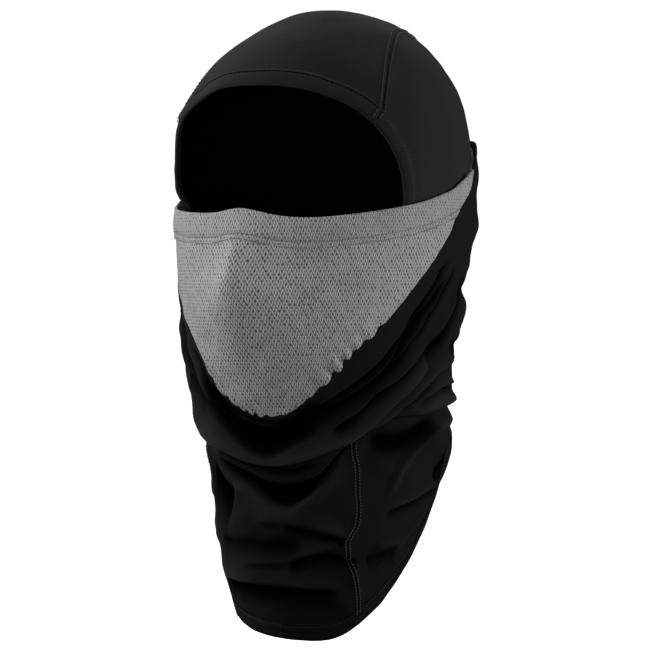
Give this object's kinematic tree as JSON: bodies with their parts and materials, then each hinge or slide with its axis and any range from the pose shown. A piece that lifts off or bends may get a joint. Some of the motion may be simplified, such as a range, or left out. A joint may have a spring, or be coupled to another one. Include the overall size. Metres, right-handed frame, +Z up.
{
  "type": "hinged balaclava",
  "caption": "Black knit balaclava with an open-faced hood, a grey mesh mask that pulls down under the chin, a slack cowl and a long neck with a dropped front.",
  "frame": {"origin": "middle of the head cavity, on the centre plane, at cheekbone height: 114 mm below the crown", "axes": "+Z up towards the crown, the face looks along -Y, +X is the wearer's left"},
  "size_m": [0.1646, 0.2268, 0.3463],
  "materials": {
    "black_jersey": "matte fine single-jersey knit",
    "hem_jersey": "matte knit, turned double",
    "black_thread": "soft sheen sewing thread",
    "grey_mesh": "matte warp-knit mesh with small eyelets",
    "grey_hem": "matte mesh, turned double",
    "grey_thread": "soft sheen sewing thread",
    "elastic": "woven elastic tape",
    "label_tape": "smooth woven tape, blank"
  },
  "bodies": {
    "gaiter": {"cowl_panel": "black_jersey", "cowl_back_stitch": "black_thread", "neck_front_panel": "black_jersey", "neck_side_panel_left": "black_jersey", "neck_side_panel_right": "black_jersey", "neck_bottom_hem": "hem_jersey", "neck_seam_stitch_left": "black_thread", "neck_seam_stitch_right": "black_thread", "neck_back_stitch": "black_thread", "neck_hem_stitch": "black_thread", "hinge_seam_roll": "hem_jersey", "care_label": "label_tape"},
    "hood": {"hood_center_panel": "black_jersey", "hood_side_panel_left": "black_jersey", "hood_side_panel_right": "black_jersey", "face_opening_hem": "hem_jersey", "crown_seam_stitch_left": "black_thread", "crown_seam_stitch_right": "black_thread", "face_opening_stitch": "black_thread"},
    "mask": {"mask_mesh_panel": "grey_mesh", "mask_top_hem": "grey_hem", "mask_hem_elastic": "elastic", "mask_hem_stitch": "grey_thread"}
  },
  "joints": [
    {"name": "hood_push_back", "type": "hinge", "parent": "gaiter", "child": "hood", "pos_m": [0, 0.102, 0.04], "axis": [-1, 0, 0], "range_deg": [0, 150]},
    {"name": "mask_pull_down", "type": "hinge", "parent": "gaiter", "child": "mask", "pos_m": [0, 0.102, 0.04], "axis": [1, 0, 0], "range_deg": [0, 24], "deforming": ["mask_mesh_panel", "cowl_panel"]}
  ]
}
